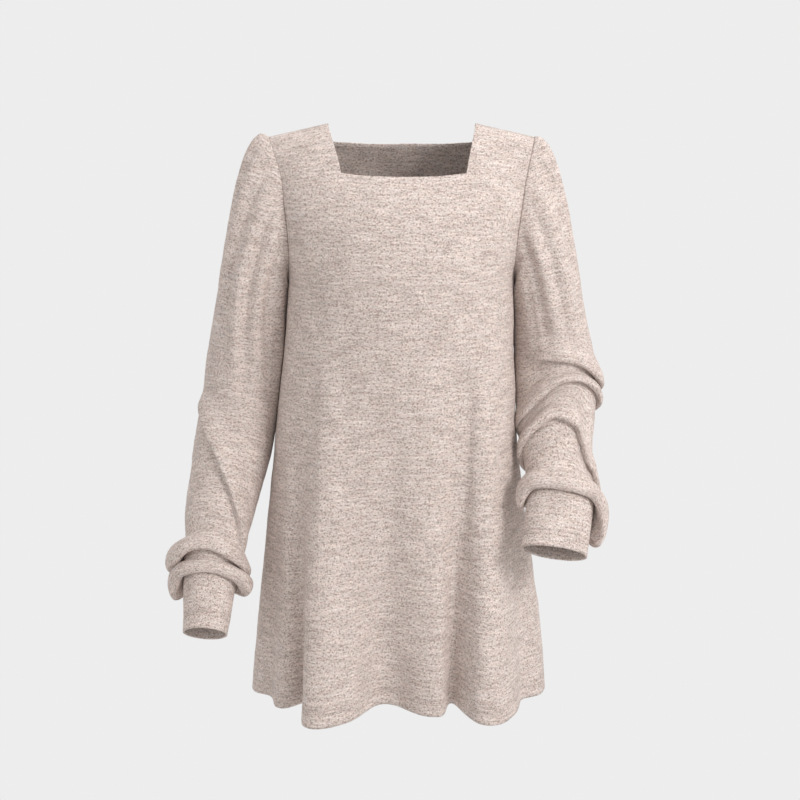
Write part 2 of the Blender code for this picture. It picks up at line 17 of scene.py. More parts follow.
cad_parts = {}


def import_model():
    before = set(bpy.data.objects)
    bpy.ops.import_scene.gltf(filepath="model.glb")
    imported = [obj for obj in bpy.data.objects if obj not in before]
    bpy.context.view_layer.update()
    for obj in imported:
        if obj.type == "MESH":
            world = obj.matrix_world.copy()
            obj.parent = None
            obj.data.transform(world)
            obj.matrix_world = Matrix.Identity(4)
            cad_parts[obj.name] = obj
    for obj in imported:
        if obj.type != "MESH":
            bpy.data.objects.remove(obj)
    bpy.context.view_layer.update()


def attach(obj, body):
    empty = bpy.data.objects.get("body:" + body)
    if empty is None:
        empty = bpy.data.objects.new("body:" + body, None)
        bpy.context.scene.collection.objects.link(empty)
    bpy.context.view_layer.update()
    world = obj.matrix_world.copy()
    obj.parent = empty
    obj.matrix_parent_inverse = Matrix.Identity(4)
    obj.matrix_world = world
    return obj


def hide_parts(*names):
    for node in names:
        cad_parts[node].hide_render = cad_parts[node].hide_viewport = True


MM = 0.001

# The camera that saw the garment: its distance from the shoulders, its tilt down and its lens.
CAMERA_DISTANCE = 2168.23
CAMERA_PITCH = 9.749  # degrees
CAMERA_LENS = 70.714
CAMERA_SENSOR = 36.0

# Cloth.
BODY_WALL = 1.2
SEAM_GAP = 0.16  # between two pieces at their seam
ARM_CLEARANCE = 0.8  # from the body to a sleeve that rests against it
CLEARANCE_RAMP = 12.0  # the distance from the armhole over which that clearance grows
ARM_REACH = 14.0  # how near the body a sleeve has to come to rest against it
ARM_REST_Z = -350.0  # the middle of the height over which it rests there
ARM_REST_SPAN = 155.0  # from that middle to each end of that height

# Heights and widths of the pattern, from the origin.
HEM_Z = -787.0
UNDERARM_Z = -205.0
CAP_DEPTH = 150.0  # the length that the cap counts for in distances below the armhole
NECK_POINT_X = 100.0
NECK_POINT_Z = 9.0
SHOULDER_POINT_X = 180.0
SHOULDER_POINT_Z = -9.0
YOKE_SIDE_Z = -60.0
ROUNDNESS = 0.85  # below 1, the torso's sections are fuller than ellipses
FLUTE_GROWTH = 1.35  # above 1, the flutes stand out faster towards the hem
FLUTE_FADE = 0.4  # the cosine of the angle round the torso from which they die away to the side seam
HEM_SWING = 0.2  # how much lower a flute hangs at the hem, for each millimetre that it stands out
SHOULDER_SLOPE = 0.12  # how steeply the straps still climb where they meet the shoulder seam
LEVEL_STEP = 0.04  # the step over which the slope of the cloth below the straps is measured

# How finely the shells are made.
PANEL_COLUMNS = 216
LOWER_ROWS = 136
ARMHOLE_ROWS = 38
STRAP_ROWS = 20
SLEEVE_COLUMNS = 168
SLEEVE_RINGS = 264
CUFF_RINGS = 36
COURSE_DRIFT_RINGS = 41  # the rings over which the drift of a sleeve's courses is taken out

# How finely lines are measured.
EDGE_SAMPLES = 400
HEM_SAMPLES = 500
SLEEVE_SAMPLES = 2400
SAMPLED_TURNS = np.arange(0, 360, 30.0)
ARMHOLE_KNOTS = 9
STRAP_KNOTS = 4
NO_LENGTH = 1e-12  # keeps a normal without length from being divided by 0

# How a sleeve's cap leaves the armhole: sideways and down at the underarm, out to the front and the back
# half way up, and lifted by the shoulder.
CAP_SIDEWAYS = 0.8
CAP_FORWARD = 0.35
CAP_DROP = 0.6
CAP_LIFT = 0.95
CAP_LIFT_POWER = 1.5  # above 1, the lift comes nearer the shoulder
CAP_FULLNESS = 0.45  # how long the cap keeps to that direction, as a share of its length
CAP_LEAST_OUT = 0.05  # how far the gathers at the armhole turn to the upper arm's outward direction

# How folds begin and end. Shares are of a fold's own run.
GATHER_START = 0.15  # over which a gather rises
CREASE_START = 0.25  # over which a crease rises
CREASE_HOLD = 0.55  # up to which it holds
FOLD_FADE = 40.0  # the distance from the cuff's seam over which gathers and wrinkles die away
MOST_ABOVE = 0.5  # the most of the way up to the last crest that a roll's rise takes
MOST_BELOW = 0.45  # the most of the way down to the next crest that its fall takes
LOWEST_BEND = 2.4  # above 1, a roll of cloth hangs lowest after it has stood out furthest
AXIS_STEP = 6.0  # to each side of a place, over which the arm's direction is measured there

# The torso's level sections: its middle, its half width, and how far the front and back stand from the
# side seams.
Torso = namedtuple("Torso", "z middle half front back")
TORSO = (
    Torso(-800, -2, 212, 126, 136),
    Torso(-720, -1.5, 205, 124, 132),
    Torso(-620, -3, 193, 121, 124),
    Torso(-520, -5, 180, 119, 114),
    Torso(-450, -5.5, 172, 118, 106),
    Torso(-373, -4, 165, 118, 98),
    Torso(-310, -2, 160, 120, 97),
    Torso(-260, 0, 157, 122, 99),
    Torso(-205, 2, 155, 123, 102),
    Torso(-150, 3.5, 163, 115, 100),
    Torso(-100, 4.5, 173, 98, 90),
    Torso(-60, 5, 180, 73, 76),
    Torso(-30, 4, 183, 47, 58),
    Torso(-12, 3, 183, 30, 44),
)

# The armhole's edge, from the torso's middle.
Armhole = namedtuple("Armhole", "z front_x back_x")
ARMHOLE = (
    Armhole(-205, 155, 155),
    Armhole(-195, 154.4, 154.8),
    Armhole(-175, 153.8, 156),
    Armhole(-150, 154.5, 158),
    Armhole(-122, 157, 161.5),
    Armhole(-95, 160.5, 165),
    Armhole(-74, 163, 168),
    Armhole(-50, 168, 172),
    Armhole(-10, 178, 178.5),
)

# The neck's lower edge at the front (1) and the back (-1): its half width, its height and its sag.
Neck = namedtuple("Neck", "half z sag")
NECKS = {1: Neck(83.5, -56, 5), -1: Neck(99, -16, 3)}

# The flutes that fall from the bust and the back to the hem. A crest has a positive rise at the hem, a
# valley a negative one. left and right are the widths over which it dies away, seen from the front, and
# lean is how far its crest tips towards +X at the hem.
Flute = namedtuple("Flute", "hem_x top_x top_z rise left right lean")
FRONT_FLUTES = (
    Flute(-188, -156, -330, -9, 24, 24, 0),
    Flute(-160, -142, -330, 10, 26, 26, 0),
    Flute(-128, -124, -250, -18, 28, 26, 0),
    Flute(-106, -108, -240, 34, 34, 40, -12),
    Flute(-76, -84, -260, 29, 40, 42, 0),
    Flute(-20, -16, -330, -26, 46, 60, 0),
    Flute(52, 44, -330, 8, 54, 26, 3),
    Flute(79, 90, -250, -24, 28, 26, 0),
    Flute(110, 110, -240, 34, 34, 40, -7),
    Flute(140, 130, -260, 25, 40, 40, 0),
    Flute(178, 154, -330, -6, 30, 26, 0),
)
BACK_FLUTES = (
    Flute(-150, -128, -260, 24, 60, 52, -4),
    Flute(-98, -92, -280, -18, 48, 46, 0),
    Flute(-46, -44, -220, 34, 60, 56, 5),
    Flute(14, 10, -260, -24, 60, 52, 0),
    Flute(66, 60, -220, 32, 52, 64, -5),
    Flute(122, 104, -300, -16, 50, 46, 0),
    Flute(162, 140, -260, 16, 44, 44, 0),
)

# A sleeve's rings below the armhole, from the upper arm to the cuff's seam: the ring's centre, its half
# width across the arm and its half depth from front to back.
Arm = namedtuple("Arm", "x y z half depth")
RIGHT_ARM = (
    Arm(-207, 6, -226, 46, 57),
    Arm(-213, 12, -270, 49, 56),
    Arm(-218, 16, -317, 53, 55),
    Arm(-224, 14, -373, 54, 54),
    Arm(-233, 2, -429, 55, 53),
    Arm(-243, -20, -482, 51, 50),
    Arm(-252, -44, -530, 47, 45),
    Arm(-255, -58, -560, 42, 41),
    Arm(-259, -72, -587, 39, 38),
    Arm(-261, -84, -610, 36, 36),
)
RIGHT_CUFF_END = Arm(-264, -122, -673, 30, 35)
LEFT_ARM = (
    Arm(207, 6, -226, 45, 57),
    Arm(214, 12, -272, 48, 56),
    Arm(220, 13, -316, 52, 55),
    Arm(222, 6, -352, 53, 52),
    Arm(221, -9, -388, 51, 47),
    Arm(219, -32, -420, 48, 42),
    Arm(218, -58, -447, 46, 37),
    Arm(218, -82, -471, 46, 32),
    Arm(217, -101, -492, 45, 28),
)
LEFT_CUFF_END = Arm(205, -144, -554, 44, 25)

# Gathers and long folds of a sleeve. A turn is a place round the sleeve in degrees: 0 at the underarm, 90
# at the front, 180 at the shoulder, 270 at the back. Each runs from its top turn to its foot turn between
# two distances below the armhole, and dies away after it has held for a share of that. before and after
# are its widths to the two sides and lean how far its crest tips round the sleeve, in degrees.
Gather = namedtuple("Gather", "top_turn foot_turn top foot hold rise before after lean")
RIGHT_GATHERS = (
    Gather(34, 20, 60, 330, 0.5, 3.0, 14, 14, 0),
    Gather(60, 43, 20, 340, 0.5, -3.5, 11, 11, 0),
    Gather(80, 62, 10, 330, 0.5, 3.0, 12, 12, 0),
    Gather(101, 78, 0, 340, 0.5, -4.5, 12, 12, 0),
    Gather(120, 95, 0, 330, 0.5, 4.0, 14, 14, 0),
    Gather(142, 118, 0, 260, 0.4, -4.0, 12, 12, 0),
    Gather(160, 141, 0, 210, 0.4, 3.6, 11, 11, 0),
    Gather(184, 172, 0, 120, 0.3, 7.0, 18, 18, 0),
    Gather(206, 214, 0, 180, 0.3, -3.0, 13, 13, 0),
    Gather(228, 242, 0, 240, 0.3, 4.0, 16, 16, 0),
    Gather(252, 272, 0, 220, 0.3, -4.0, 15, 15, 0),
    Gather(8, 8, 10, 350, 0.6, 7.5, 50, 50, 0),
    Gather(170, 13, 285, 530, 0.85, 8.5, 42, 5, 4),
)
LEFT_GATHERS = (
    Gather(40, 44, 30, 250, 0.4, 3.0, 14, 14, 0),
    Gather(62, 76, 0, 270, 0.4, -4.0, 12, 12, 0),
    Gather(80, 94, 0, 260, 0.4, 3.5, 13, 13, 0),
    Gather(98, 112, 0, 260, 0.4, -4.0, 12, 12, 0),
    Gather(118, 130, 0, 230, 0.3, 3.5, 14, 14, 0),
    Gather(146, 146, 0, 200, 0.3, -4.0, 12, 12, 0),
    Gather(168, 162, 0, 150, 0.3, 3.4, 11, 11, 0),
    Gather(192, 188, 0, 120, 0.3, 4.0, 14, 14, 0),
    Gather(214, 220, 0, 170, 0.3, -3.5, 13, 13, 0),
    Gather(236, 250, 0, 220, 0.3, 4.0, 16, 16, 0),
    Gather(258, 280, 0, 220, 0.3, -4.0, 15, 15, 0),
    Gather(8, 8, 10, 430, 0.75, 9.5, 50, 50, 0),
)

# Rolls of pushed-up cloth round a sleeve, from the top down. The first four columns are the height of a
# roll's crest above the end of the arm's line, at the front, the shoulder side, the back and the underarm
# side, and the next four are how far it stands out there. It hangs over its crease by lean times that, and
# is above and below wide at most, but the last one falls all the way to the cuff's seam. rise and fall are
# powers, and a lower one makes that side fuller.
Roll = namedtuple(
    "Roll",
    "front outer back inner front_out outer_out back_out inner_out lean above below rise fall",
)
RIGHT_ROLLS = (
    Roll(42, 30, 28, 24, 10, 25, 20, 16, 0.6, 20, 4, 1.2, 0.9),
    Roll(11, 10, 11, 10, 6, 20, 18, 20, 0.7, 12, 5, 1.0, 1.1),
)
LEFT_ROLLS = (
    Roll(220, 182, 195, 213, 8, 10, 6, 2, 0.6, 40, 4, 1.8, 0.9),
    Roll(178, 161, 150, 112, 9, 9, 7, 3, 0.7, 50, 4, 1.8, 0.9),
    Roll(110, 40, 60, 72, 10, 8, 7, 8, 0.6, 44, 4, 1.6, 0.9),
    Roll(7, 4, 6, 14, 10, 17, 18, 14, 0.6, 24, 6, 0.9, 1.0),
)

# Lobes are parts of a roll that stand out, hang or drop further than the rest of it. roll is the roll's
# place in its table, and turn and spread are in degrees.
Lobe = namedtuple("Lobe", "roll turn spread stand hang drop")
RIGHT_LOBES = (
    Lobe(0, 172, 50, 1, 4, 0),
    Lobe(0, 50, 50, 2, 2, 0),
    Lobe(1, 195, 50, 3, 18, 0),
    Lobe(1, -12, 50, 3, 5, 0),
)
LEFT_LOBES = (
    Lobe(0, 20, 60, -5, -4, 0),
    Lobe(0, 150, 45, 2, 3, 2),
    Lobe(1, 45, 50, 5, 5, 6),
    Lobe(1, 160, 50, 1, 2, 0),
    Lobe(2, 48, 40, 3, 3, 4),
    Lobe(2, 134, 22, 0, 2, 28),
    Lobe(2, 164, 34, 0, 2, 30),
    Lobe(3, 205, 65, 4, 46, 0),
    Lobe(3, 2, 40, 2, 16, 0),
)

# Short wrinkles across a sleeve. turn and run are the middle's place round the sleeve and its distance
# below the armhole, spread is half its length in degrees, wide half its width, slant how much further
# down the end with the greater turn is, and arch how much further up both ends are.
Wrinkle = namedtuple("Wrinkle", "turn run spread wide slant arch rise")
RIGHT_WRINKLES = (
    Wrinkle(80, 470, 40, 6, 4, 6, 1.5),
    Wrinkle(48, 505, 30, 5, -5, 4, 2.0),
    Wrinkle(116, 512, 34, 5, 5, 5, 1.8),
    Wrinkle(258, 330, 42, 10, 8, 9, -3.0),
    Wrinkle(282, 385, 38, 9, -8, 7, 2.6),
    Wrinkle(250, 440, 44, 9, 7, 6, -2.8),
    Wrinkle(276, 492, 36, 7, -6, 5, 2.4),
)
LEFT_WRINKLES = (
    Wrinkle(60, 368, 34, 5, -3, 5, 3.0),
    Wrinkle(95, 377, 40, 4, 4, 6, -2.6),
    Wrinkle(66, 387, 44, 5, -4, 5, 3.4),
    Wrinkle(118, 392, 30, 5, 6, 4, 3.0),
    Wrinkle(58, 396, 34, 4, 2, 4, -3.0),
    Wrinkle(92, 404, 46, 5, 3, 5, 3.2),
    Wrinkle(262, 300, 40, 9, 8, 8, -3.0),
    Wrinkle(284, 350, 34, 8, -7, 6, 2.6),
    Wrinkle(246, 392, 38, 7, 6, 5, -2.6),
)

# How far the cuff's seam drops below the end of the arm's own line, at the front, the shoulder side, the
# back and the underarm side.
RIGHT_SEAM_DROP = (-5, -3, -3, -3)
LEFT_SEAM_DROP = (0, 5, 0, -8)

# Creases of the front and the back, as troughs or ridges: the ends of each in x and z, how far it stands
# out, half its width and how far its middle bends aside.
Crease = namedtuple("Crease", "x z end_x end_z rise wide bend")
FRONT_CREASES = (
    Crease(-150, -150, -60, -330, -1.6, 22, 8),
    Crease(150, -140, 92, -330, -1.6, 22, -8),
    Crease(-113, -270, -122, -640, -3.6, 16, 3),
    Crease(-86, -300, -92, -620, 1.8, 18, 0),
    Crease(-10, -340, -20, -650, -2.2, 24, -4),
    Crease(97, -290, 84, -640, -4.2, 15, 2),
    Crease(121, -300, 116, -620, 2.0, 16, 0),
)
BACK_CREASES = (
    Crease(-142, -120, -52, -320, -3.6, 22, 9),
    Crease(-136, -175, -84, -350, -2.6, 15, 6),
    Crease(140, -130, 58, -310, -3.4, 24, -8),
    Crease(134, -190, 92, -330, -2.2, 14, -5),
    Crease(-18, -30, -26, -260, 1.8, 26, 5),
)

# Each arm: the wearer's side, its tables, and its sleeve's cut. A cut is the width and length of the flat
# piece, in metres, and its area in square metres.
ArmParts = namedtuple("ArmParts", "name side rings cuff_end gathers rolls lobes wrinkles seam_drop cut")
RIGHT_FOLDS = (RIGHT_GATHERS, RIGHT_ROLLS, RIGHT_LOBES, RIGHT_WRINKLES)
LEFT_FOLDS = (LEFT_GATHERS, LEFT_ROLLS, LEFT_LOBES, LEFT_WRINKLES)
ARMS = (
    ArmParts("right", -1, RIGHT_ARM, RIGHT_CUFF_END, *RIGHT_FOLDS, RIGHT_SEAM_DROP, ((0.37, 0.70), 0.20)),
    ArmParts("left", 1, LEFT_ARM, LEFT_CUFF_END, *LEFT_FOLDS, LEFT_SEAM_DROP, ((0.37, 0.60), 0.18)),
)
CUFF_CUT = ((0.23, 0.09), 0.019)
PANEL_CUT = ((0.62, 0.86), 0.40)

# Soft unevenness of the worn cloth, in layers: how far each stands out and the size of its patches.
BODY_SOFTNESS = ((1.3, 44.0), (0.5, 15.0))
Tube = namedtuple("Tube", "wall softness has_hem")
SLEEVE = Tube(BODY_WALL, ((0.8, 30.0), (0.32, 11.0)), False)
CUFF = Tube(2.4, ((0.6, 30.0), (0.24, 11.0)), True)

# Seams pull the cloth in and hold it smooth.
SEAM_DIP = 0.15
SEAM_SOFTNESS = 5.0  # the distance from a seam at which its dip has fallen to about a third
SEAM_HOLD = 3.0  # the distance within which a seam holds the cloth smooth
FAR_FROM_SEAM = 1000.0
CUT_SPACING = 1700.0  # keeps the pieces apart in the cloth's own coordinates

# The yarn's colours, two pale and two dark, each pair mixed in soft patches. A blend is the noise at
# which all the yarn is of one of the two.
CREAM_YARN = (0.85, 0.73, 0.665, 1.0)
SHELL_YARN = (0.82, 0.727, 0.682, 1.0)
PALE_PATCH = (20, 7)
PALE_BLEND = 0.15
ROSE_YARN = (0.34, 0.255, 0.228, 1.0)
BROWN_YARN = (0.30, 0.25, 0.215, 1.0)
DARK_PATCH = (9, 4)
DARK_BLEND = 0.18

# How pale the yarn is: its mean, the noises that change it, whose patches are across by along, and the
# dark specks, one to a patch. A tone above 0 makes the yarn paler.
MEAN_TONE = 0.48
Tone = namedtuple("Tone", "across along detail roughness weight")
TONES = {
    "streaks": Tone(13, 3.0, 2, 0.6, 0.55),
    "slubs": Tone(36, 3.4, 2, 0.6, 0.65),
    "grain": Tone(2.3, 2.2, 1, 0.5, 0.9),
    "fine grain": Tone(1.1, 1.2, 1, 0.5, 1.6),
    "clouds": Tone(34, 16, 2, 0.5, 0.35),
}
SPECK_PATCH = (7.4, 5.4)
SPECK_EDGE = (0.08, 0.24)  # where a speck starts to fade and where it ends, in shares of its patch
SPECK_TONE = -0.62

# The knit's relief. The parts of it stand out by shares of RELIEF_HEIGHT.
RELIEF_HEIGHT = 0.5
RELIEF_STRENGTH = 0.55
COURSE_PITCH = 2.9
COURSE_RELIEF = 0.16
WANDER = 2.4  # how many pitches a course wanders over the range of its noise
WANDER_PATCH = (22, 7)
WALE_PITCH = 1.7
STITCH_PITCH = 1.25
STITCH_CLIMB = 1.1  # how many pitches a stitch climbs to a wale's width
STITCH_RELIEF = 0.22
STREAK_RELIEF = 0.9
GRAIN_RELIEF = 0.8

# The two rows of stitches above a hem's edge, and the dip that they pull in the cloth, whose yarn is also
# darkened there as painted shade. An edge is where each starts to fade and where it ends.
HEM_ROW = 17.0  # from the hem's edge up to the lower row
HEM_ROW_GAP = 5.5
HEM_STITCH = 3.4
HEM_STITCH_ENDS = (0.06, 0.14)  # in shares of a stitch
HEM_ROW_EDGE = (0.3, 0.9)
HEM_DIP_EDGE = (0.6, 3.0)
HEM_ROW_TONE = 0.06
# painted shade: how much darker the yarn is made in the hem's dip
HEM_DIP_PAINTED_SHADE = -0.10
HEM_ROW_RELIEF = 1.2
HEM_DIP_RELIEF = -1.6

# The room. Places and sizes are in metres, and power in watts.
ROOM_COLOUR = (0.847, 0.847, 0.847, 1.0)
Lamp = namedtuple("Lamp", "name place size power")
LAMPS = (
    Lamp("key", (2.2, -2.0, 1.2), 1.2, 62.0),
    Lamp("top", (0.3, 0.2, 2.4), 1.4, 18.0),
)
LAMPS_AIM = (0, 0, -0.4)


def column(rows, along, name):
    """A table's column as a smooth function of another column, with no overshoot between its rows."""
    ordered = sorted(rows, key=lambda row: getattr(row, along))
    x = np.array([getattr(row, along) for row in ordered], float)
    y = np.array([getattr(row, name) for row in ordered], float)
    return smooth(x, y)


def smooth(x, y):
    """A smooth function through the points, straight beyond both ends. y may hold points in space."""
    step = np.diff(x)
    rise = np.diff(y, axis=0) / step.reshape(-1, *[1] * (y.ndim - 1))
    slope = np.concatenate([rise[:1], (rise[:-1] + rise[1:]) / 2, rise[-1:]])
    turns = rise[:-1] * rise[1:] <= 0
    if y.ndim == 1:
        slope[1:-1][turns] = 0

    def at(value):
        value = np.asarray(value, float)
        i = np.clip(np.searchsorted(x, value) - 1, 0, len(x) - 2)
        h = step[i]
        t = np.clip((value - x[i]) / h, 0, 1)
        low = np.minimum(value - x[0], 0)
        high = np.maximum(value - x[-1], 0)
        if y.ndim > 1:
            h, t, low, high = (part[..., None] for part in (h, t, low, high))
        made = hermite(y[i], slope[i] * h, y[i + 1], slope[i + 1] * h, t)
        return made + low * slope[0] + high * slope[-1]

    return at


def bump(q):
    """A smooth bump, 1 at 0 and flat at 0 from 1 outwards."""
    return np.cos(np.clip(np.abs(q), 0, 1) * math.pi / 2) ** 2


def ease(q):
    """0 below 0, 1 above 1, and a smooth step between."""
    q = np.clip(q, 0, 1)
    return q * q * (3 - 2 * q)


def around(values, turn):
    """A smooth value round the sleeve from those at the front, the shoulder side, the back and below."""
    front, outer, back, inner = values
    angle = np.radians(turn)
    return (
        (front + outer + back + inner) / 4
        + (inner - outer) / 2 * np.cos(angle)
        + (front - back) / 2 * np.sin(angle)
        + (inner + outer - front - back) / 4 * np.cos(2 * angle)
    )


def turned(turn, centre):
    """How far a turn is past a centre, from -180 to 180."""
    return np.mod(turn - centre + 180, 360) - 180


def unit(vectors):
    """The vectors, each scaled to a length of 1."""
    return vectors / np.linalg.norm(vectors, axis=-1, keepdims=True)


def tube_axes(along):
    """The directions across a tube and to its front, from the one along it."""
    across = unit(np.array([1.0, 0, 0]) - along * along[..., :1])
    return across, np.cross(along, across)


def hermite(a, leave, b, arrive, t):
    """A curve from a to b that sets out along leave and comes in along arrive, as t goes from 0 to 1."""
    return (
        a * (1 + 2 * t) * (1 - t) ** 2
        + leave * t * (1 - t) ** 2
        + b * t**2 * (3 - 2 * t)
        + arrive * t**2 * (t - 1)
    )


torso_middle = column(TORSO, "z", "middle")
torso_half = column(TORSO, "z", "half")
torso_front = column(TORSO, "z", "front")
torso_back = column(TORSO, "z", "back")
armhole_front = column(ARMHOLE, "z", "front_x")
armhole_back = column(ARMHOLE, "z", "back_x")


def edge_angle(face, z):
    """Half the angle that a panel spans at a height: a quarter turn below the underarm."""
    edge_x = armhole_front(z) if face > 0 else armhole_back(z)
    share = np.clip(edge_x / torso_half(z), 0, 1)
    return np.where(z < UNDERARM_Z, math.pi / 2, np.arcsin(share))


def flute_rise(flutes, x, z):
    """How far the flutes push a panel out at each x and z, and how far they tip it towards +X."""
    total = np.zeros(np.broadcast(x, z).shape)
    tipped = np.zeros(total.shape)
    for flute in flutes:
        grown = np.clip((flute.top_z - z) / (flute.top_z - HEM_Z), 0, None) ** FLUTE_GROWTH
        centre = flute.top_x + (flute.hem_x - flute.top_x) * np.clip(grown, 0, 1)
        offset = x - centre
        swell = grown * bump(offset / np.where(offset < 0, flute.left, flute.right))
        total = total + flute.rise * swell
        tipped = tipped + flute.lean * swell
    return total, tipped


def torso(face, angle, z):
    """A point of the worn body, with its flutes. face is 1 for the front and -1 for the back."""
    half = torso_half(z)
    depth = torso_front(z) if face > 0 else torso_back(z)
    x = half * np.sin(angle)
    cosine = np.cos(angle)
    y = -face * depth * np.sign(cosine) * np.abs(cosine) ** ROUNDNESS
    rise, tipped = flute_rise(FRONT_FLUTES if face > 0 else BACK_FLUTES, x, z)
    middle = ease(cosine / FLUTE_FADE)
    rise, tipped = rise * middle, tipped * middle
    outward = unit(np.stack([x / half**2, y / depth**2], axis=-1))
    z_hung = z - HEM_SWING * rise * np.clip((UNDERARM_Z - z) / (UNDERARM_Z - HEM_Z), 0, None)
    moved = torso_middle(z) + rise * outward[..., 0] + tipped
    return np.stack([x + moved, y + rise * outward[..., 1], z_hung], axis=-1)


def corner_column(face):
    """The place across the panel, from 0 at the middle to 1 at the armhole, of the neck's corner."""
    neck = NECKS[face]
    return float(np.arcsin(neck.half / torso_half(neck.z)) / edge_angle(face, neck.z))


def top_height(face, across):
    """Height of the row that holds the neck's lower edge and runs on to the armhole."""
    neck = NECKS[face]
    corner = corner_column(face)
    inside = np.clip(np.abs(across) / corner, 0, 1)
    outside = ease((np.abs(across) - corner) / (1 - corner))
    return neck.z - neck.sag * (1 - inside**2) + (YOKE_SIDE_Z - neck.z) * outside


def panel(face, across, level):
    """A point of the front or back. across runs from -1 to 1, level from 0 at the hem through 1 at the
    underarm and 2 at the neck's lower edge to 3 at the shoulder seam."""
    across, level = np.broadcast_arrays(np.asarray(across, float), np.asarray(level, float))
    top = top_height(face, across)

    def on_torso(at):
        low = HEM_Z + np.minimum(at, 1) * (UNDERARM_Z - HEM_Z)
        z = low + np.clip(at - 1, 0, None) * (top - UNDERARM_Z)
        return torso(face, across * edge_angle(face, z), z)

    lower = on_torso(np.minimum(level, 2))
    start = on_torso(np.full(level.shape, 2.0))
    leaving = (start - on_torso(np.full(level.shape, 2 - LEVEL_STEP))) / LEVEL_STEP
    corner = corner_column(face)
    along_seam = (np.abs(across) - corner) / (1 - corner)
    seam_x = NECK_POINT_X + (SHOULDER_POINT_X - NECK_POINT_X) * along_seam
    seam_z = NECK_POINT_Z + (SHOULDER_POINT_Z - NECK_POINT_Z) * along_seam
    seam_x = torso_middle(0.0) + np.sign(across) * seam_x
    seam = np.stack([seam_x, np.zeros(level.shape), seam_z], axis=-1)
    reach = np.linalg.norm(seam - start, axis=-1, keepdims=True)
    over = np.array([0.0, face, SHOULDER_SLOPE])
    strap = hermite(start, unit(leaving) * reach, seam, over * reach, (level - 2)[..., None])
    return np.where((level > 2)[..., None], strap, lower)


def lengths_along(points):
    """Distances along each column of a grid of points, from its first row."""
    steps = np.linalg.norm(np.diff(points, axis=0), axis=-1)
    return np.concatenate([np.zeros((1, *steps.shape[1:])), np.cumsum(steps, axis=0)])


def even_places(line, count):
    """Places from 0 to 1 that cut a line of points into stretches of even length."""
    length = lengths_along(line)
    return np.interp(np.linspace(0, length[-1], count + 1), length, np.linspace(0, 1, len(line)))


def armhole_levels(face, lower_rows, upper_rows):
    """The panel's levels at the armhole, spaced evenly along its edge below and above the neck's row."""
    made = [np.array([1.0])]
    for start, rows in ((1.0, lower_rows), (2.0, upper_rows)):
        edge = panel(face, np.ones(EDGE_SAMPLES), np.linspace(start, start + 1, EDGE_SAMPLES))
        made.append(start + even_places(edge, rows)[1:])
    return np.concatenate(made)


def columns_of(face):
    """Places across a panel, even along its hem, with one at each corner of the neck."""
    corner = corner_column(face)
    stretches = ((-1, -corner), (-corner, corner), (corner, 1))
    hems = [panel(face, np.linspace(start, end, HEM_SAMPLES), 0.0) for start, end in stretches]
    lengths = [lengths_along(hem)[-1] for hem in hems]
    places = []
    for (start, end), hem, length in zip(stretches, hems, lengths):
        share = even_places(hem, int(round(PANEL_COLUMNS * length / sum(lengths))))
        places.append((start + (end - start) * share)[:-1])
    return np.concatenate([*places, [1.0]])


def armhole_point(side, turn):
    """A point of the armhole's edge. turn is in degrees, 0 at the underarm and 180 at the shoulder."""
    turn = np.mod(np.asarray(turn, float), 360)
    places = np.linspace(0, 180, ARMHOLE_KNOTS + STRAP_KNOTS + 1)
    front_level = np.interp(turn, places, armhole_levels(1, ARMHOLE_KNOTS, STRAP_KNOTS))
    back_level = np.interp(360 - turn, places, armhole_levels(-1, ARMHOLE_KNOTS, STRAP_KNOTS))
    across = np.full(turn.shape, float(side))
    on_front = (turn <= 180)[..., None]
    return np.where(on_front, panel(1, across, front_level), panel(-1, across, back_level))


def crease_depth(creases, x, z):
    """How far the creases of a panel push it out at each x and z."""
    total = np.zeros(x.shape)
    for crease in creases:
        run = np.array([crease.end_x - crease.x, crease.end_z - crease.z], float)
        length = np.hypot(*run)
        along = ((x - crease.x) * run[0] + (z - crease.z) * run[1]) / length**2
        bend = crease.bend * np.sin(np.clip(along, 0, 1) * math.pi)
        off = ((x - crease.x) * run[1] - (z - crease.z) * run[0]) / length - bend
        fade = ease(along / CREASE_START) * (1 - ease((along - CREASE_HOLD) / (1 - CREASE_HOLD)))
        total = total + crease.rise * bump(off / crease.wide) * fade
    return total


def softness(points, layers):
    """Small soft unevenness of worn cloth: layers of smooth noise at each point of a grid."""
    total = np.zeros(points.shape[:-1])
    for rise, size in layers:
        values = [noise.noise(Vector(point)) for point in points.reshape(-1, 3) / size]
        total += rise * np.array(values).reshape(total.shape)
    return total


def facet_normals(points, outward, closed):
    """Unit normals of a grid of points, each the mean of those of the facets about it."""
    if closed:
        points = np.concatenate([points[:, -1:], points, points[:, :1]], axis=1)
    facets = outward * np.cross(points[1:, 1:] - points[:-1, :-1], points[1:, :-1] - points[:-1, 1:])
    total = np.zeros(points.shape)
    for rows in (slice(None, -1), slice(1, None)):
        for columns in (slice(None, -1), slice(1, None)):
            total[rows, columns] += facets
    normals = unit(total + NO_LENGTH)
    return normals[:, 1:-1] if closed else normals


